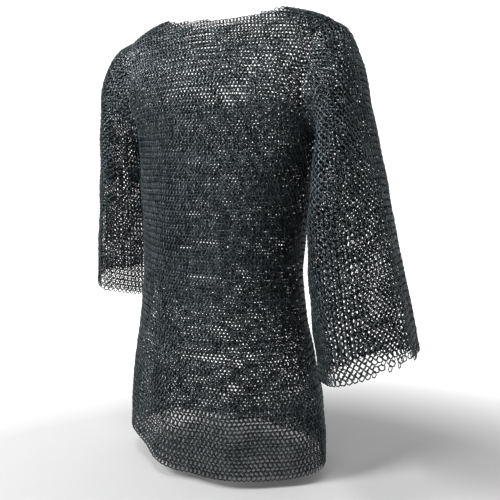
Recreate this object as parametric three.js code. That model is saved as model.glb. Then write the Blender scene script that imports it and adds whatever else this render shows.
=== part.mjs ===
// Worn mail shirt: a hip-length hauberk with a wide shallow neck, straight body and wide elbow-length sleeves.
// Millimetres, +Z up, front towards -Y, the wearer's left towards +X.
// The origin is on the shoulder line, midway between the two sides of the neck opening.
import * as THREE from 'three';

// ---- driving sizes ----
const WALL = 4;            // thickness of the mail as a solid sheet
const SEAM = 0.18;         // each panel stops this far short of a seam line
const ARMHOLE_SEAM = 0.75; // the same for a sleeve, where it turns sharply under the arm
const ARMPIT = { x: 178, y: 0, z: -232 };
const SHOULDER_TIP = { x: 209, y: 0, z: -39 };
const ARMHOLE_FRONT = { x: 181, y: -64, z: -142 };
const ARMHOLE_BACK = { x: 184, y: 66, z: -132 };
const HEM_Z = -802;
const HEM_LIFT_RIGHT = 20; // the hem rides up a little at the wearer's right hip
const HEM_LIFT_CORNER = 13; // and between that hip and the front
const NECK_HALF = 0.55;    // half width of the neck opening, as a share of the shoulder line
const NECK_DROP_FRONT = 0.188;
const NECK_DROP_BACK = 0.075;
const SHOULDER_CURVE = 2.5; // how late a row of the yoke drops to the armhole
const ARMPIT_CURVE = 8;     // the same for the row at the armpits, which rises there sharply
const ARMPIT_SAG = 22;      // how far that row hangs below the armpits
const YOKE_SWEEP = 38;      // degrees by which a yoke row turns less than a half circle

// Smooth table: the first column is the parameter, the others are read between its rows.
function columns(names, rows) {
  const slope = (i, c) => {
    const a = rows[Math.max(i - 1, 0)], b = rows[Math.min(i + 1, rows.length - 1)];
    return (b[c] - a[c]) / (b[0] - a[0]);
  };
  return (at) => {
    const t = Math.min(Math.max(at, rows[0][0]), rows[rows.length - 1][0]);
    let i = 0;
    while (i < rows.length - 2 && t >= rows[i + 1][0]) i++;
    const span = rows[i + 1][0] - rows[i][0], u = (t - rows[i][0]) / span, v = 1 - u;
    const out = {};
    names.slice(1).forEach((name, k) => {
      const c = k + 1;
      out[name] = rows[i][c] * (1 + 2 * u) * v * v + slope(i, c) * span * u * v * v
        + rows[i + 1][c] * u * u * (3 - 2 * u) - slope(i + 1, c) * span * u * u * v;
    });
    return out;
  };
}

// Body below the armpits: half ellipses, from the hem up.
const bodyAt = columns(['z', 'right', 'left', 'front', 'back'], [
  [-802, 187, 187, 141, 142],
  [-700, 182, 181, 140, 139],
  [-610, 171, 161, 134, 128],
  [-520, 165, 146, 128, 112],
  [-430, 165, 146, 126, 104],
  [-330, 171, 159, 127, 108],
  [-232, 178, 178, 120, 118],
]);
// Yoke rows, by the angle at which a row meets the armhole (0 armpit, 180 shoulder line): middle of the row.
const yokeAt = columns(['angle', 'frontZ', 'frontY', 'backZ', 'backY'], [
  [0, -254, -120, -254, 118],
  [30, -212, -121, -212, 119],
  [60, -169, -117, -169, 116],
  [90, -122, -106, -118, 108],
  [120, -78, -86, -68, 90],
  [150, -30, -56, -23, 58],
  [165, -6, -31, -4, 31],
  [180, 1, 0, 1, 0],
]);
// Sleeves from armhole to cuff: outer and inner line, middle line's y, and depth to the front and back of it.
const SLEEVE_COLUMNS = ['t', 'outX', 'outZ', 'inX', 'inZ', 'midY', 'front', 'back'];
const leftAt = columns(SLEEVE_COLUMNS, [
  [0.00, 209, -39, 178, -232, 0, 64, 66],
  [0.07, 230, -56, 191, -235, 0, 70, 72],
  [0.16, 250, -100, 196, -256, -2, 78, 80],
  [0.28, 265, -165, 191, -305, -6, 88, 88],
  [0.50, 292, -290, 184, -396, -14, 102, 100],
  [0.75, 321, -440, 189, -516, -12, 110, 108],
  [1.00, 350, -594, 199, -642, -2, 114, 114],
]);
const rightAt = columns(SLEEVE_COLUMNS, [
  [0.00, 209, -39, 178, -232, 0, 64, 66],
  [0.07, 243, -56, 191, -235, 2, 70, 72],
  [0.16, 263, -96, 197, -256, 8, 80, 84],
  [0.28, 270, -152, 194, -298, 14, 88, 96],
  [0.50, 273, -258, 195, -370, 24, 98, 112],
  [0.75, 280, -380, 195, -454, 34, 106, 120],
  [1.00, 288, -500, 197, -540, 42, 110, 124],
]);
// Soft flutes: how many run round, how deep they get, and where the first one lies.
const BODY_FLUTES = { count: 7, depth: 5, turn: 0.9 };
const SLEEVE_FLUTES = { count: 5, depth: 4, turn: 0.4 };

// ---- the sheet's middle surface ----
const clamp01 = (v) => Math.min(Math.max(v, 0), 1);
const rad = THREE.MathUtils.degToRad;

// Closed loop through an inner, outer, front and back point; angle 0 is the inner point, 90 the front.
function loop(inner, outer, front, back, angle) {
  const c = -Math.cos(rad(angle)), s = Math.sin(rad(angle));
  const bulge = s >= 0 ? front : back;
  const at = (k) => {
    const mid = (inner[k] + outer[k]) / 2;
    return mid + (outer[k] - inner[k]) / 2 * c + (bulge[k] - mid) * Math.abs(s);
  };
  return new THREE.Vector3(at('x'), at('y'), at('z'));
}
const armhole = (angle) => loop(ARMPIT, SHOULDER_TIP, ARMHOLE_FRONT, ARMHOLE_BACK, angle);

// Body: row 0 is the shoulder line, 1 the armpit, 2 the hem; across runs from -1 (right) to 1 (left).
function body(isFront, row, across) {
  const yoke = clamp01(1 - row), low = clamp01(row - 1);
  const z = ARMPIT.z + low * (HEM_Z - ARMPIT.z), size = bodyAt(z), mid = yokeAt(yoke * 180);
  const half = across > 0 ? size.left : size.right;
  const edge = yoke > 0 ? armhole(isFront ? yoke * 180 : 360 - yoke * 180) : new THREE.Vector3(half, 0, z);
  const midY = yoke > 0 ? (isFront ? mid.frontY : mid.backY) : (isFront ? -size.front : size.back);
  const midZ = yoke > 0 ? (isFront ? mid.frontZ : mid.backZ) : z - ARMPIT_SAG * (1 - low) ** 3;
  const rise = SHOULDER_CURVE + (ARMPIT_CURVE - SHOULDER_CURVE) * (1 - yoke) ** 6;
  const end = rad(90 - YOKE_SWEEP * yoke ** 0.8), turn = across * end;
  const p = new THREE.Vector3(
    edge.x * Math.sin(turn) / Math.sin(end),
    edge.y + (midY - edge.y) * (Math.cos(turn) - Math.cos(end)) / (1 - Math.cos(end)),
    midZ + (edge.z - midZ) * Math.abs(across) ** rise);
  const round = Math.atan2(p.y, p.x);
  const flute = BODY_FLUTES.depth * low ** 1.5 * Math.cos(BODY_FLUTES.count * round + BODY_FLUTES.turn);
  p.x += flute * Math.cos(round);
  p.y += flute * Math.sin(round);
  const right = Math.max(0, -p.x / size.right), fore = Math.max(0, -p.y / size.front);
  p.z += low * (HEM_LIFT_RIGHT * right ** 2 + HEM_LIFT_CORNER * 2.4 * right ** 1.5 * fore);
  return p;
}
const neckline = (drop, across) => drop * Math.sqrt(Math.max(0, 1 - (across / NECK_HALF) ** 2));

// Sleeve: t 0 is the armhole, 1 the cuff; side 1 left, -1 right.
function sleeve(side, t, angle) {
  const s = (side > 0 ? leftAt : rightAt)(t), hold = clamp01(1 - t / 0.3) ** 2;
  const midX = (s.inX + s.outX) / 2, midZ = (s.inZ + s.outZ) / 2;
  const holeX = (ARMPIT.x + SHOULDER_TIP.x) / 2, holeZ = (ARMPIT.z + SHOULDER_TIP.z) / 2;
  const reach = (mark, depth) => ({
    x: midX + (mark.x - holeX) * hold, y: s.midY + depth, z: midZ + (mark.z - holeZ) * hold });
  const p = loop({ x: s.inX, y: s.midY, z: s.inZ }, { x: s.outX, y: s.midY, z: s.outZ },
    reach(ARMHOLE_FRONT, -s.front), reach(ARMHOLE_BACK, s.back), angle);
  const flute = SLEEVE_FLUTES.depth * t * t * Math.sin(SLEEVE_FLUTES.count * rad(angle) + SLEEVE_FLUTES.turn);
  const out = new THREE.Vector3(p.x - midX, p.y - s.midY, 0).normalize();
  p.addScaledVector(out, flute);
  p.x *= side;
  return p;
}

// ---- the panels as grids of points: grid[i][j], i down the panel, j across or round it ----
const steps = (from, to, count) => Array.from({ length: count }, (_, i) => from + (to - from) * i / count);
const YOKE_ROWS = 11, BODY_ROWS = 17, SHOULDER_COLUMNS = 6, NECK_COLUMNS = 16, SLEEVE_ROWS = 17;
const rows = [...steps(0, 1, YOKE_ROWS), ...steps(1, 2, BODY_ROWS), 2];
const across = [
  ...steps(-1, -NECK_HALF, SHOULDER_COLUMNS),
  ...steps(-90, 90, NECK_COLUMNS).map((a) => NECK_HALF * Math.sin(rad(a))),
  ...steps(NECK_HALF, 1, SHOULDER_COLUMNS), 1];
const round = [...rows.slice(0, YOKE_ROWS + 1).map((r) => 180 * (1 - r)).reverse(),
  ...rows.slice(1, YOKE_ROWS).map((r) => 180 * (1 + r))];
const lengths = [...steps(0, 1, SLEEVE_ROWS).map((t) => t ** 1.15), 1];

function bodyGrid(isFront) {
  const drop = isFront ? NECK_DROP_FRONT : NECK_DROP_BACK;
  return rows.map((row) => across.map((a) => {
    const top = neckline(drop, a);
    return body(isFront, row < 1 ? top + row * (1 - top) : row, a);
  }));
}
const panels = {
  front_panel: { grid: bodyGrid(true), closed: false, rims: SEAM },
  back_panel: { grid: bodyGrid(false), closed: false, rims: SEAM },
  left_sleeve: { grid: lengths.map((t) => round.map((a) => sleeve(1, t, a))), closed: true, rims: ARMHOLE_SEAM },
  right_sleeve: { grid: lengths.map((t) => round.map((a) => sleeve(-1, t, a))), closed: true, rims: ARMHOLE_SEAM },
};

// Normals of the middle surface, shared where panels meet, always away from the hollow.
const place = (p) => p.toArray().map((v) => Math.round(v * 20)).join();
const shared = new Map();
for (const panel of Object.values(panels)) {
  const { grid, closed } = panel, wide = grid[0].length;
  panel.facing = panel === panels.back_panel || panel === panels.right_sleeve ? 1 : -1;
  for (let i = 0; i < grid.length - 1; i++) {
    for (let j = 0; j < (closed ? wide : wide - 1); j++) {
      const a = grid[i][j], b = grid[i][(j + 1) % wide], c = grid[i + 1][(j + 1) % wide], d = grid[i + 1][j];
      const n = c.clone().sub(a).cross(d.clone().sub(b)).multiplyScalar(panel.facing);
      for (const p of [a, b, c, d]) {
        const k = place(p);
        if (!shared.has(k)) shared.set(k, new THREE.Vector3());
        shared.get(k).add(n);
      }
    }
  }
}

// One closed body: outer skin, inner skin and a rim round every open edge.
function solid({ grid, closed, rims, facing }) {
  const tall = grid.length, wide = grid[0].length, positions = [], index = [];
  const within = (k, count) => Math.min(Math.max(k, 0), count - 1);
  const at = (i, j) => grid[within(i, tall)][closed ? (j + wide) % wide : within(j, wide)];
  const away = (p, inside, before, after) => {
    const along = after.clone().sub(before).normalize(), step = inside.clone().sub(p);
    return step.addScaledVector(along, -step.dot(along)).setLength(rims);
  };
  const drawn = grid.map((line, i) => line.map((p, j) => {
    const q = p.clone();
    if (i === 0) q.add(away(p, at(1, j), at(0, j - 1), at(0, j + 1)));
    if (!closed && (j === 0 || j === wide - 1)) {
      q.add(away(p, at(i, j === 0 ? 1 : j - 1), at(i - 1, j), at(i + 1, j)));
    }
    return q;
  }));
  for (const side of [0.5, -0.5]) {
    drawn.forEach((line, i) => line.forEach((q, j) => {
      const n = shared.get(place(grid[i][j])).clone().normalize();
      positions.push(...q.clone().addScaledVector(n, side * WALL).toArray());
    }));
  }
  const outer = (i, j) => i * wide + (j % wide), inner = (i, j) => tall * wide + outer(i, j);
  const quad = (a, b, c, d) => index.push(...(facing > 0 ? [a, b, c, a, c, d] : [a, c, b, a, d, c]));
  const last = closed ? wide : wide - 1;
  for (let i = 0; i < tall - 1; i++) {
    for (let j = 0; j < last; j++) {
      quad(outer(i, j), outer(i, j + 1), outer(i + 1, j + 1), outer(i + 1, j));
      quad(inner(i, j), inner(i + 1, j), inner(i + 1, j + 1), inner(i, j + 1));
    }
    if (!closed) {
      quad(outer(i, 0), outer(i + 1, 0), inner(i + 1, 0), inner(i, 0));
      quad(outer(i, last), inner(i, last), inner(i + 1, last), outer(i + 1, last));
    }
  }
  for (let j = 0; j < last; j++) {
    quad(outer(0, j), inner(0, j), inner(0, j + 1), outer(0, j + 1));
    quad(outer(tall - 1, j), outer(tall - 1, j + 1), inner(tall - 1, j + 1), inner(tall - 1, j));
  }
  const geometry = new THREE.BufferGeometry();
  geometry.setAttribute('position', new THREE.Float32BufferAttribute(positions, 3));
  geometry.setIndex(index);
  geometry.computeVertexNormals();
  return geometry;
}

const shirt = new THREE.Group();
for (const [name, panel] of Object.entries(panels)) {
  const steel = new THREE.MeshStandardMaterial({ color: 0x26292c, roughness: 0.45, metalness: 0.9 });
  const mesh = new THREE.Mesh(solid(panel), steel);
  mesh.name = name;
  shirt.add(mesh);
}
export default shirt;
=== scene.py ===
import math

import bmesh
import bpy
import numpy as np
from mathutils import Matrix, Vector


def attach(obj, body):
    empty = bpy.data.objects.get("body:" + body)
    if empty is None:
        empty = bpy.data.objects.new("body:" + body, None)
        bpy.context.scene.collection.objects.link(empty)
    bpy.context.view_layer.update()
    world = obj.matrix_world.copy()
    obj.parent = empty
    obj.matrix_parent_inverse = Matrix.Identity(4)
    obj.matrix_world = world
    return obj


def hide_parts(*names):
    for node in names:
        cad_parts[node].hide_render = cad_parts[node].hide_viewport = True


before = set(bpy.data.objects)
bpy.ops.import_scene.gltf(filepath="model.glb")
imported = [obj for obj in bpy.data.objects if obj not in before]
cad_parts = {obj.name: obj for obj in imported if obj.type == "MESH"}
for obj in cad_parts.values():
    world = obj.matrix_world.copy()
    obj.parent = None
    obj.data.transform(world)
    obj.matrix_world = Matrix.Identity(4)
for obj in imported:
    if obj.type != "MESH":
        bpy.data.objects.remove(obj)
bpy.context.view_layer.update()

# The trunk of the shirt: a front and a back of round steel rings, each linked through four others, in level
# rows from the shoulder line to the hem. Nothing sews them: the rings at each side link the two, and their
# top rows link over the shoulders. The neck is cut out of those rows. All sizes are in millimetres.
MM = 0.001
ARMPIT = np.array([178.0, 0.0, -232.0])
SHOULDER_TIP = np.array([209.0, 0.0, -39.0])
ARMHOLE_FRONT = np.array([181.0, -64.0, -142.0])
ARMHOLE_BACK = np.array([184.0, 66.0, -132.0])
HEM_Z = -802.0
HEM_LIFT_RIGHT, HEM_LIFT_CORNER = 20.0, 31.2    # it rides up at the right hip, and between that and the front
NECK_HALF = 0.55        # of the way across
NECK_DROP_FRONT, NECK_DROP_BACK = 0.188, 0.075  # of the way down to the armpit
SHOULDER_CURVE = 2.5
ARMPIT_CURVE = 8.0
ARMPIT_SAG = 22.0
YOKE_SWEEP = 38.0


def columns(names, rows):
    """A smooth table: its first column is the parameter, and the others are read between its rows."""
    table = np.array(rows, float)
    x, y = table[:, 0], table[:, 1:]
    slope = np.empty_like(y)
    slope[1:-1] = (y[2:] - y[:-2]) / (x[2:] - x[:-2])[:, None]
    slope[0] = (y[1] - y[0]) / (x[1] - x[0])
    slope[-1] = (y[-1] - y[-2]) / (x[-1] - x[-2])

    def read(at):
        t = np.clip(np.asarray(at, float), x[0], x[-1])
        i = np.clip(np.searchsorted(x, t, side="right") - 1, 0, len(x) - 2)
        span = (x[i + 1] - x[i])[..., None]
        u = (t - x[i])[..., None] / span
        v = 1 - u
        out = (y[i] * (1 + 2 * u) * v * v + slope[i] * span * u * v * v
               + y[i + 1] * u * u * (3 - 2 * u) - slope[i + 1] * span * u * u * v)
        return {name: out[..., k] for k, name in enumerate(names[1:])}
    return read


body_at = columns(["z", "right", "left", "front", "back"], [
    (-802, 187, 187, 141, 142),
    (-700, 182, 181, 140, 139),
    (-610, 171, 161, 134, 128),
    (-520, 165, 146, 128, 112),
    (-430, 165, 146, 126, 104),
    (-330, 171, 159, 127, 108),
    (-232, 178, 178, 120, 118)])
yoke_at = columns(["angle", "front_z", "front_y", "back_z", "back_y"], [
    (0, -254, -120, -254, 118),
    (30, -212, -121, -212, 119),
    (60, -169, -117, -169, 116),
    (90, -122, -106, -118, 108),
    (120, -78, -86, -68, 90),
    (150, -30, -56, -23, 58),
    (165, -6, -31, -4, 31),
    (180, 1, 0, 1, 0)])
BODY_FLUTES = {"count": 7, "depth": 5.0, "turn": 0.9}   # soft folds that deepen towards the hem


def loop(inner, outer, front, back, angle):
    """A closed loop through four points: angle 0 is the inner one, 90 the front, 180 the outer and 270 the
    back."""
    c, s = -np.cos(angle)[..., None], np.sin(angle)[..., None]
    mid = (inner + outer) / 2
    return mid + (outer - inner) / 2 * c + np.where(s >= 0, front - mid, back - mid) * np.abs(s)


def on_body(is_front, row, across):
    """The mail's middle: row 0 is the shoulder line, 1 the armpit and 2 the hem, and across runs from -1 at
    the right side to 1 at the left."""
    row, across = np.broadcast_arrays(np.asarray(row, float), np.asarray(across, float))
    yoke, low = np.clip(1 - row, 0, 1), np.clip(row - 1, 0, 1)
    z = ARMPIT[2] + low * (HEM_Z - ARMPIT[2])
    size, mid = body_at(z), yoke_at(yoke * 180)
    turn = np.radians(yoke * 180 if is_front else 360 - yoke * 180)
    edge = loop(ARMPIT, SHOULDER_TIP, ARMHOLE_FRONT, ARMHOLE_BACK, turn)
    above = yoke > 0
    half = np.where(across > 0, size["left"], size["right"])
    edge = np.where(above[..., None], edge, np.stack([half, 0 * z, z], -1))
    mid_y = np.where(above, mid["front_y" if is_front else "back_y"],
                     -size["front"] if is_front else size["back"])
    mid_z = np.where(above, mid["front_z" if is_front else "back_z"], z - ARMPIT_SAG * (1 - low) ** 3)
    rise = SHOULDER_CURVE + (ARMPIT_CURVE - SHOULDER_CURVE) * (1 - yoke) ** 6
    end = np.radians(90 - YOKE_SWEEP * yoke ** 0.8)
    t = across * end
    x = edge[..., 0] * np.sin(t) / np.sin(end)
    y = edge[..., 1] + (mid_y - edge[..., 1]) * (np.cos(t) - np.cos(end)) / (1 - np.cos(end))
    z = mid_z + (edge[..., 2] - mid_z) * np.abs(across) ** rise
    around = np.arctan2(y, x)
    flute = BODY_FLUTES["depth"] * low ** 1.5 * np.cos(BODY_FLUTES["count"] * around + BODY_FLUTES["turn"])
    x, y = x + flute * np.cos(around), y + flute * np.sin(around)
    right, fore = np.maximum(0, -x / size["right"]), np.maximum(0, -y / size["front"])
    lift = low * (HEM_LIFT_RIGHT * right ** 2 + HEM_LIFT_CORNER * right ** 1.5 * fore)
    return np.stack([x, y, z + lift], -1)


def neckline(drop, across):
    """The row at which the neck opening ends."""
    return drop * np.sqrt(np.maximum(0, 1 - (across / NECK_HALF) ** 2))


# One ring, laid flat: wire bent to six sides, with few faces because the shirt has thousands. The wire has
# three sides, the widest one outward, and is half as wide again as the real round wire of 1.6 mm. So this ring
# is 6.9 to 8.0 mm clear inside, where a round one of that wire has 8.8 mm.
RING_RADIUS = 5.2       # to the middle of the wire
WIRE_HALF, WIRE_RISE, WIRE_FALL = 1.2, 0.35, 0.8
RING_SIDES, WIRE_SIDES = 6, 3
ring = bmesh.new()
wire = [ring.verts.new(p) for p in [(RING_RADIUS + WIRE_HALF, 0, WIRE_RISE), (RING_RADIUS, 0, -WIRE_FALL),
                                    (RING_RADIUS - WIRE_HALF, 0, WIRE_RISE)]]
edges = [ring.edges.new((wire[k - 1], wire[k])) for k in range(WIRE_SIDES)]
bmesh.ops.spin(ring, geom=wire + edges, angle=2 * math.pi, steps=RING_SIDES, axis=(0, 0, 1), use_merge=True)
bmesh.ops.recalc_face_normals(ring, faces=ring.faces)
ring.verts.index_update()
RING_POINTS = np.array([v.co for v in ring.verts])
RING_FACES = np.array([[v.index for v in face.verts] for face in ring.faces])
ring.free()
CORNERS = np.array([(0, 0), (1, 0), (1, 1), (0, 1)])
patch = np.arange(RING_SIDES * WIRE_SIDES)[:, None]
RING_UV = np.stack([(patch % RING_SIDES + CORNERS[:, 0]) / RING_SIDES,
                    (patch // RING_SIDES + CORNERS[:, 1]) / WIRE_SIDES], -1)
PITCH, ROW_STEP = 8.0, 6.4      # ring to ring and row to row with the mail laid flat: assumed, not measured
shuffle = np.random.default_rng(7)

# The rings' finish: bare steel wire, blackened and oiled. Its colour is painted dark and dull down in the
# mail, a painted shade, and lighter, a grey satin, where the rings stand proud of it: partly real rubbing and
# partly a painted highlight.
class Field:
    """A socket of a node tree with ordinary arithmetic."""
    def __init__(self, tree, socket):
        self.tree, self.socket = tree, socket

    def math(self, operation, other, swap=False):
        n = self.tree.nodes.new("ShaderNodeMath")
        n.operation = operation
        for k, v in zip((1, 0) if swap else (0, 1), (self, other)):
            if isinstance(v, Field):
                self.tree.links.new(v.socket, n.inputs[k])
            else:
                n.inputs[k].default_value = v
        return Field(self.tree, n.outputs[0])

    def __add__(self, other): return self.math("ADD", other)
    def __radd__(self, other): return self.math("ADD", other, True)
    def __mul__(self, other): return self.math("MULTIPLY", other)
    def __rmul__(self, other): return self.math("MULTIPLY", other, True)


class Finish:
    """A material's node tree, with one method for any node."""
    def __init__(self, name):
        self.material = bpy.data.materials.new(name)
        self.material.use_nodes = True
        self.tree = self.material.node_tree
        self.shader = self.tree.nodes["Principled BSDF"]

    def node(self, kind, out=0, settings=(), **inputs):
        n = self.tree.nodes.new(kind)
        for key, value in dict(settings).items():
            if key == "stops":
                ramp = n.color_ramp
                while len(ramp.elements) < len(value):
                    ramp.elements.new(0.5)
                for element, (place, colour) in zip(ramp.elements, value):
                    element.position, element.color = place, (*colour, 1)
            else:
                setattr(n, key, value)
        for key, value in inputs.items():
            self.join(value, n.inputs[key.replace("_", " ")])
        return Field(self.tree, n.outputs[out])

    def join(self, value, socket):
        if isinstance(value, Field):
            self.tree.links.new(value.socket, socket)
        else:
            socket.default_value = value


steel = Finish("blackened_steel")
where = steel.node("ShaderNodeTexCoord", out="Object")
tone = steel.node("ShaderNodeAttribute", out="Fac", settings={"attribute_name": "ring_tone"})
# ring_rub is partly real rubbed wear and partly painted light: a painted highlight on each ring's proud side,
# painted shade on its sunk side
rub_and_light = steel.node("ShaderNodeAttribute", out="Fac", settings={"attribute_name": "ring_rub"})
broad = steel.node("ShaderNodeTexNoise", out="Fac", Vector=where, Scale=9.0, Detail=3.0)
fine = steel.node("ShaderNodeTexNoise", out="Fac", Vector=where, Scale=420.0, Detail=2.0)
shade = 0.25 * tone + 0.2 * broad + 0.15 * fine + 0.45 * rub_and_light
colour = steel.node("ShaderNodeValToRGB", out="Color", Fac=shade, settings={"stops": [
    (0.25, (0.0028, 0.0037, 0.0046)), (0.52, (0.0145, 0.0185, 0.0222)), (0.85, (0.108, 0.130, 0.140))]})
steel.join(colour, steel.shader.inputs["Base Color"])
steel.join(0.22 + 0.16 * fine + 0.08 * tone, steel.shader.inputs["Roughness"])
steel.shader.inputs["Metallic"].default_value = 0.85

# Hand-linked mail never lies quite even: it wanders in long waves, and each ring sits a little askew.
WAVE_COUNT, WAVE_SHORTEST, WAVE_LONGEST = 6, 45.0, 150.0
WAVES = shuffle.normal(0, 1, (3, WAVE_COUNT, 3))
WAVES *= (2 * math.pi / shuffle.uniform(WAVE_SHORTEST, WAVE_LONGEST, (3, WAVE_COUNT))
          / np.linalg.norm(WAVES, axis=-1))[..., None]
WAVE_STARTS = shuffle.uniform(0, 2 * math.pi, (3, WAVE_COUNT))
WANDER = {"along": 1.3, "down": 1.3, "out": 1.2, "ring": 0.15}
ASKEW = {"lean": 3.0, "tip": 3.5}   # degrees
RUB_AND_LIGHT_REACH = 0.45        # rings lean out of the mail by this much of their radius: painted highlight and wear there


def unit(v):
    return v / np.linalg.norm(v, axis=-1, keepdims=True)


def weave(name, centre, along, down, lean, tip=0.0):
    """One mesh of rings. Each lies on the mail at its centre, leans along its row and tips down the column."""
    n = len(centre)
    out = unit(np.cross(down, along))
    along = unit(along)
    down = np.cross(along, out)
    drift = np.sin(np.einsum("ijk,nk->nij", WAVES, centre) + WAVE_STARTS).sum(-1) / WAVE_COUNT ** 0.5
    drift *= [WANDER["along"], WANDER["down"], WANDER["out"]]
    drift += shuffle.normal(0, WANDER["ring"], (n, 3))
    centre = centre + along * drift[:, :1] + down * drift[:, 1:2] + out * drift[:, 2:]
    askew = shuffle.normal(0, 1, (n, 3))
    lean = np.radians(lean + ASKEW["lean"] * askew[:, 0])[:, None]
    tip = np.radians(tip + ASKEW["tip"] * askew[:, 1])[:, None]
    a = along * np.cos(lean) + out * np.sin(lean)
    b = down * np.cos(tip) + np.cross(a, down) * np.sin(tip)
    c = np.cross(a, b)
    spin = shuffle.uniform(0, 2 * math.pi, n)[:, None]
    a, b = a * np.cos(spin) + b * np.sin(spin), b * np.cos(spin) - a * np.sin(spin)
    p = RING_POINTS[None]
    verts = (centre[:, None] + p[..., 0:1] * a[:, None] + p[..., 1:2] * b[:, None] + p[..., 2:3] * c[:, None])
    faces = (RING_FACES[None] + len(RING_POINTS) * np.arange(n)[:, None, None]).reshape(-1, 4)
    mesh = bpy.data.meshes.new(name)
    mesh.vertices.add(n * len(RING_POINTS))
    mesh.vertices.foreach_set("co", (verts * MM).astype(np.float32).ravel())
    mesh.loops.add(faces.size)
    mesh.loops.foreach_set("vertex_index", faces.astype(np.int32).ravel())
    mesh.polygons.add(len(faces))
    mesh.polygons.foreach_set("loop_start", np.arange(0, faces.size, 4, dtype=np.int32))
    mesh.polygons.foreach_set("use_smooth", np.ones(len(faces), bool))
    mesh.update(calc_edges=True)
    tone = mesh.attributes.new("ring_tone", "FLOAT", "POINT")
    tone.data.foreach_set("value", np.repeat(shuffle.random(n), len(RING_POINTS)).astype(np.float32))
    # each ring is painted lighter on its side proud of the mail (partly rubbed wear, partly a painted
    # highlight) and darker on its sunk side (painted shade)
    proud = np.einsum("nvk,nk->nv", verts - centre[:, None], out) / (RUB_AND_LIGHT_REACH * RING_RADIUS)
    rub_and_light = mesh.attributes.new("ring_rub", "FLOAT", "POINT")
    rub_and_light.data.foreach_set("value", np.clip(0.5 + 0.5 * proud, 0, 1).astype(np.float32).ravel())
    wide = math.ceil(n ** 0.5)
    cell = np.stack([np.arange(n) % wide, np.arange(n) // wide], -1)[:, None, None]
    plan = mesh.uv_layers.new(name="OFBake")
    plan.data.foreach_set("uv", ((cell + 0.1 + 0.8 * RING_UV[None]) / wide).astype(np.float32).ravel())
    mesh.materials.append(steel.material)
    piece = bpy.data.objects.new(name, mesh)
    bpy.context.scene.collection.objects.link(piece)
    return piece


def spread(points):
    """Distance along a row of points, from its first."""
    step = np.linalg.norm(np.diff(points, axis=0), axis=-1)
    return np.concatenate([[0], np.cumsum(step)])


NUDGE = 1e-3            # a step along the mail that is small enough to give its direction
SEAM = 1.0              # the rings of the trunk and of the sleeves keep this far from the armhole
NECK_SPARE = 0.01       # and this part of the yoke from the neckline
YOKE_ROWS = 45          # rows of rings from the shoulder line to the armpit
SKIRT_ROWS = 92         # and from there to the hem
COLUMNS_ROUND = 131     # odd, so that the front and the back interlock over the shoulders
BODY_LEAN = 23.0        # degrees by which one row's rings lean, and the next row's the other way
ACROSS = np.linspace(-1, 1, 241)
ROWS = np.concatenate([(np.arange(YOKE_ROWS) + 0.5) / YOKE_ROWS,
                       1 + (np.arange(SKIRT_ROWS) + 0.5) / SKIRT_ROWS])


def row_line(is_front, row):
    """How far each of ACROSS lies from the middle of the panel along one row, and the row's length."""
    length = spread(on_body(is_front, row, ACROSS))
    return length - length[len(ACROSS) // 2], length[-1]


def trunk_rings(is_front):
    """Row, place across and odd or even row of each ring of the front or the back."""
    found = []
    armpit_pitch = sum(row_line(front, 1.0)[1] for front in (True, False)) / COLUMNS_ROUND
    for i, row in enumerate(ROWS):
        at, length = row_line(is_front, row)
        pitch = armpit_pitch if row < 1 else (length + row_line(not is_front, row)[1]) / COLUMNS_ROUND
        half_step = 0.5 * ((i % 2 == 0) != is_front)
        place = (np.arange(-COLUMNS_ROUND, COLUMNS_ROUND) + half_step) * pitch
        edge = length / 2 - (SEAM if row < 1 else 0)
        place = place[(place > -edge) & (place <= edge) if is_front else (place >= -edge) & (place < edge)]
        across = np.interp(place, at, ACROSS)
        drop = NECK_DROP_FRONT if is_front else NECK_DROP_BACK
        across = across[row > neckline(drop, across) + NECK_SPARE]
        found.append(np.stack([np.full(len(across), row), across, np.full(len(across), i % 2)], 1))
    return np.concatenate(found)


def trunk_mail(name, is_front, first, last):
    """The rings of the front or the back between two rows, with their width and length laid flat."""
    rings = trunk_rings(is_front)
    row, across, odd = rings[(rings[:, 0] >= first) & (rings[:, 0] < last)].T
    along = on_body(is_front, row, across + NUDGE) - on_body(is_front, row, across - NUDGE)
    down = on_body(is_front, row + NUDGE, across) - on_body(is_front, row - NUDGE, across)
    along = along if is_front else -along
    down = down - along * (np.sum(down * along, -1) / np.sum(along * along, -1))[:, None]
    lean = np.where(odd > 0, BODY_LEAN, -BODY_LEAN)
    return weave(name, on_body(is_front, row, across), along, down, lean), laid_flat(row)


def laid_flat(row_of_ring):
    """Width and length of a piece of mail laid flat, from its rows of rings, and its area, in metres."""
    counts = np.unique(row_of_ring, return_counts=True)[1]
    return (counts.max() * PITCH * MM, len(counts) * ROW_STEP * MM), counts.sum() * PITCH * ROW_STEP * MM * MM


for name, is_front, first, last in [
        ("front_yoke_mail", True, 0, 1),
        ("front_waist_mail", True, 1, 1.5),
        ("front_skirt_mail", True, 1.5, 2),
        ("back_yoke_mail", False, 0, 1),
        ("back_waist_mail", False, 1, 1.5),
        ("back_skirt_mail", False, 1.5, 2)]:
    piece, (flat, area) = trunk_mail(name, is_front, first, last)
    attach(piece, "root")
    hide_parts("front_panel" if is_front else "back_panel")

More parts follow.
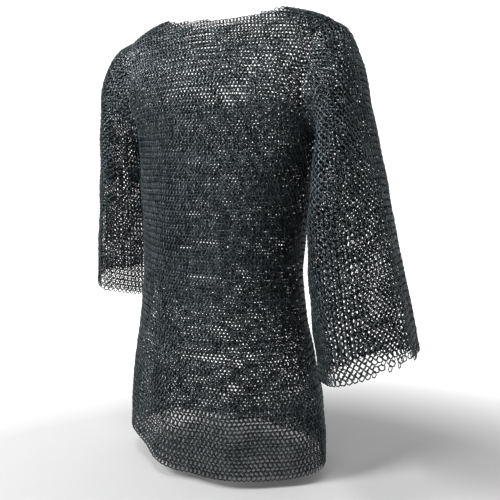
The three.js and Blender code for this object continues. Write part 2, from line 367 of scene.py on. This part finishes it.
# The sleeves: wide tubes of the same rings, whose rows run round the arm and so meet the trunk's at a slant.
# The weave hangs along its columns there, so the rows close up and the rings tip over each other a little.
SLEEVE_COLUMNS = ["t", "out_x", "out_z", "in_x", "in_z", "mid_y", "front", "back"]
left_at = columns(SLEEVE_COLUMNS, [
    (0.00, 209, -39, 178, -232, 0, 64, 66),
    (0.07, 230, -56, 191, -235, 0, 70, 72),
    (0.16, 250, -100, 196, -256, -2, 78, 80),
    (0.28, 265, -165, 191, -305, -6, 88, 88),
    (0.50, 292, -290, 184, -396, -14, 102, 100),
    (0.75, 321, -440, 189, -516, -12, 110, 108),
    (1.00, 350, -594, 199, -642, -2, 114, 114)])
right_at = columns(SLEEVE_COLUMNS, [
    (0.00, 209, -39, 178, -232, 0, 64, 66),
    (0.07, 243, -56, 191, -235, 2, 70, 72),
    (0.16, 263, -96, 197, -256, 8, 80, 84),
    (0.28, 270, -152, 194, -298, 14, 88, 96),
    (0.50, 273, -258, 195, -370, 24, 98, 112),
    (0.75, 280, -380, 195, -454, 34, 106, 120),
    (1.00, 288, -500, 197, -540, 42, 110, 124)])
SLEEVE_FLUTES = {"count": 5, "depth": 4.0, "turn": 0.4}
SLEEVE_LEAN, SLEEVE_TIP = 23.0, 6.0     # degrees
SLEEVE_COUNTS = {1: 63, -1: 60}         # rings to a row, left and right
ROUND_STEPS, LENGTH_STEPS = 144, 159
SLEEVE_ROW = 5.5                        # from one row to the next, halfway round the arm
HOLD = 0.3                              # down to here the sleeve keeps some of the armhole's slant


def on_sleeve(side, t, angle):
    """The mail's middle: t 0 is the armhole, 1 the cuff; side 1 is the left sleeve, -1 the right."""
    t, angle = np.broadcast_arrays(np.asarray(t, float), np.asarray(angle, float))
    s = (left_at if side > 0 else right_at)(t)
    hold = np.clip(1 - t / HOLD, 0, 1) ** 2
    mid_x, mid_z = (s["in_x"] + s["out_x"]) / 2, (s["in_z"] + s["out_z"]) / 2
    hole = (ARMPIT + SHOULDER_TIP) / 2

    def reach(mark, depth):
        slant = mark - hole
        return np.stack([mid_x + slant[0] * hold, s["mid_y"] + depth, mid_z + slant[2] * hold], -1)
    inner = np.stack([s["in_x"], s["mid_y"], s["in_z"]], -1)
    outer = np.stack([s["out_x"], s["mid_y"], s["out_z"]], -1)
    p = loop(inner, outer, reach(ARMHOLE_FRONT, -s["front"]), reach(ARMHOLE_BACK, s["back"]), angle)
    away = unit(p[..., :2] - np.stack([mid_x, s["mid_y"]], -1))
    flute = SLEEVE_FLUTES["depth"] * t * t * np.sin(SLEEVE_FLUTES["count"] * angle + SLEEVE_FLUTES["turn"])
    p[..., :2] += away * flute[..., None]
    p[..., 0] *= side
    return p


def sleeve_rings(side):
    """Each ring's centre, row direction, column direction, place along the sleeve, odd or even row, row, and
    degrees round it, row by row from the cuff up. The outside of the arm is the longer way, so its rows lie
    wider apart, and some of them end at the armhole."""
    angles = np.linspace(0, 2 * math.pi, ROUND_STEPS + 1)
    stations = np.linspace(1, 0, LENGTH_STEPS + 1)
    steps = np.linalg.norm(np.diff(on_sleeve(side, stations[:, None], angles[None]), axis=0), axis=-1)
    reached = np.concatenate([np.zeros((1, len(angles))), np.cumsum(steps, axis=0)])
    full = reached[-1]
    row_step = SLEEVE_ROW * (0.5 + 0.5 * full / full.mean())
    found = []
    for i in range(int(max(full / row_step))):
        want = (i + 0.5) * row_step
        t = np.array([np.interp(want[k], reached[:, k], stations) for k in range(len(angles))])
        points = on_sleeve(side, t, angles)
        at = spread(points)
        count = SLEEVE_COUNTS[side]
        place = (np.arange(count) + 0.5 * (i % 2) + 0.25) / count * at[-1]
        angle = np.interp(place, at, angles)
        here = np.interp(angle, angles, t)
        keep = np.interp(angle, angles, want - full) < -SEAM
        ahead, behind = angle + 10 * NUDGE, angle - 10 * NUDGE
        along = (on_sleeve(side, np.interp(ahead % (2 * math.pi), angles, t), ahead)
                 - on_sleeve(side, np.interp(behind % (2 * math.pi), angles, t), behind)) * side
        down = on_sleeve(side, here + NUDGE, angle) - on_sleeve(side, here - NUDGE, angle)
        down = down - along * (np.sum(down * along, -1) / np.sum(along * along, -1))[:, None]
        found.append(np.concatenate([on_sleeve(side, here, angle), along, down, here[:, None],
                                     np.full((count, 1), i % 2), np.full((count, 1), i),
                                     np.degrees(angle)[:, None]], 1)[keep])
    return np.concatenate(found)


def sleeve_mail(name, rings, first, last):
    """The rings of a sleeve between two places along it, with their width and length laid flat."""
    rings = rings[(rings[:, 9] >= first) & (rings[:, 9] < last)]
    lean = np.where(rings[:, 10] > 0, SLEEVE_LEAN, -SLEEVE_LEAN)
    return weave(name, rings[:, :3], rings[:, 3:6], rings[:, 6:9], lean, SLEEVE_TIP), laid_flat(rings[:, 11])


# Rings gone from the left cuff at the front: row up from the edge, and degrees round the sleeve. Two rings
# between them still hang from the row above.
GONE = np.array([(0, 121, 136), (0, 142, 148), (0, 154, 173), (1, 131, 137), (1, 143, 149),
                 (2, 122, 128), (2, 138, 143), (1, 160, 165)])
left_rings, right_rings = sleeve_rings(1), sleeve_rings(-1)
gone = ((left_rings[:, 11:12] == GONE[:, 0]) & (left_rings[:, 12:] > GONE[:, 1])
        & (left_rings[:, 12:] < GONE[:, 2])).any(1)
left_rings = left_rings[~gone]
for name, side, rings, first, last in [
        ("left_upper_sleeve_mail", 1, left_rings, 0, 0.5),
        ("left_lower_sleeve_mail", 1, left_rings, 0.5, 2),
        ("right_upper_sleeve_mail", -1, right_rings, 0, 0.5),
        ("right_lower_sleeve_mail", -1, right_rings, 0.5, 2)]:
    piece, (flat, area) = sleeve_mail(name, rings, first, last)
    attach(piece, "root")
    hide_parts("left_sleeve" if side > 0 else "right_sleeve")


# The studio: a pale paper floor that sweeps up into a round pale backdrop, with a painted glow away from the
# shirt, a large soft light in front and above, a weaker one on top, and the camera at chest height to the
# shirt's front left.
AZIMUTH, DISTANCE, EYE_Z = math.radians(30.0), 1.3, -0.294      # the camera, in radians and metres
FLOOR_Z, FLOOR_RADIUS, SWEEP_RADIUS, WALL_TOP = -0.818, 2.6, 1.4, 6.0
sweep = bmesh.new()
line = [Vector((0, 0, FLOOR_Z))]
line += [Vector((FLOOR_RADIUS + SWEEP_RADIUS * math.sin(a), 0, FLOOR_Z + SWEEP_RADIUS * (1 - math.cos(a))))
         for a in np.linspace(0, math.pi / 2, 13)]
line += [Vector((FLOOR_RADIUS + SWEEP_RADIUS, 0, WALL_TOP))]
corners = [sweep.verts.new(p) for p in line]
edges = [sweep.edges.new(pair) for pair in zip(corners, corners[1:])]
bmesh.ops.spin(sweep, geom=corners + edges, angle=2 * math.pi, steps=64, axis=(0, 0, 1), use_merge=True)
bmesh.ops.remove_doubles(sweep, verts=sweep.verts, dist=0.001)
bmesh.ops.recalc_face_normals(sweep, faces=sweep.faces)
for face in sweep.faces:
    face.smooth = True
backdrop_mesh = bpy.data.meshes.new("backdrop")
sweep.to_mesh(backdrop_mesh)
sweep.free()
backdrop = bpy.data.objects.new("backdrop", backdrop_mesh)
bpy.context.scene.collection.objects.link(backdrop)
paper = Finish("pale_paper_painted_glow")
paper.shader.inputs["Base Color"].default_value = (0.56, 0.56, 0.56, 1)
paper.shader.inputs["Roughness"].default_value = 0.95
paper.shader.inputs["Specular IOR Level"].default_value = 0.0
# The paper has a painted glow, light that no lamp gives: none close to the shirt, and less in front of it than
# behind.
place = paper.node("ShaderNodeTexCoord", out="Object")
far = paper.node("ShaderNodeVectorMath", out="Value", settings={"operation": "LENGTH"}, Vector=place)
place_x = paper.node("ShaderNodeSeparateXYZ", out="X", Vector=place)
place_y = paper.node("ShaderNodeSeparateXYZ", out="Y", Vector=place)
behind = -math.sin(AZIMUTH) * place_x + math.cos(AZIMUTH) * place_y
painted_glow = paper.node("ShaderNodeMapRange", Value=far + 0.4 * behind, From_Min=0.95, From_Max=1.22,
                  To_Min=0.0, To_Max=0.85)
painted_glow_front_dim = paper.node("ShaderNodeMapRange", Value=behind, From_Min=-1.2, From_Max=1.0,
                       To_Min=0.08, To_Max=1.0)
paper.join(painted_glow * painted_glow_front_dim, paper.shader.inputs["Emission Color"])
paper.shader.inputs["Emission Strength"].default_value = 0.9
backdrop_mesh.materials.append(paper.material)

world = bpy.data.worlds.new("studio")
world.use_nodes = True
world.node_tree.nodes["Background"].inputs["Color"].default_value = (1, 1, 1, 1)
world.node_tree.nodes["Background"].inputs["Strength"].default_value = 0.08
bpy.context.scene.world = world
bpy.context.scene.view_settings.view_transform = "Standard"


def soft_light(name, place, target, size, watts):
    light = bpy.data.lights.new(name, "AREA")
    light.shape, light.size, light.energy = "DISK", size, watts
    lamp = bpy.data.objects.new(name, light)
    lamp.location = place
    lamp.rotation_euler = (Vector(target) - Vector(place)).to_track_quat("-Z", "Y").to_euler()
    bpy.context.scene.collection.objects.link(lamp)


soft_light("front_light", place=(-1.5, -1.9, 1.3), target=(0, 0, -0.3), size=0.9, watts=95)
soft_light("top_light", place=(-0.2, -0.8, 2.0), target=(0.1, 0, -0.2), size=0.9, watts=24)

# The picture is square, and the lens's axis meets it above and left of its middle.
PICTURE, FOCAL, AXIS_X, AXIS_Y = 500, 700, 228, 170     # pixels
camera = bpy.data.objects.new("camera", bpy.data.cameras.new("camera"))
camera.location = (DISTANCE * math.sin(AZIMUTH), -DISTANCE * math.cos(AZIMUTH), EYE_Z)
camera.rotation_euler = (math.radians(90), 0, AZIMUTH)
camera.data.lens = camera.data.sensor_width * FOCAL / PICTURE
camera.data.shift_x = (PICTURE / 2 - AXIS_X) / PICTURE
camera.data.shift_y = -(PICTURE / 2 - AXIS_Y) / PICTURE
bpy.context.scene.collection.objects.link(camera)
bpy.context.scene.camera = camera
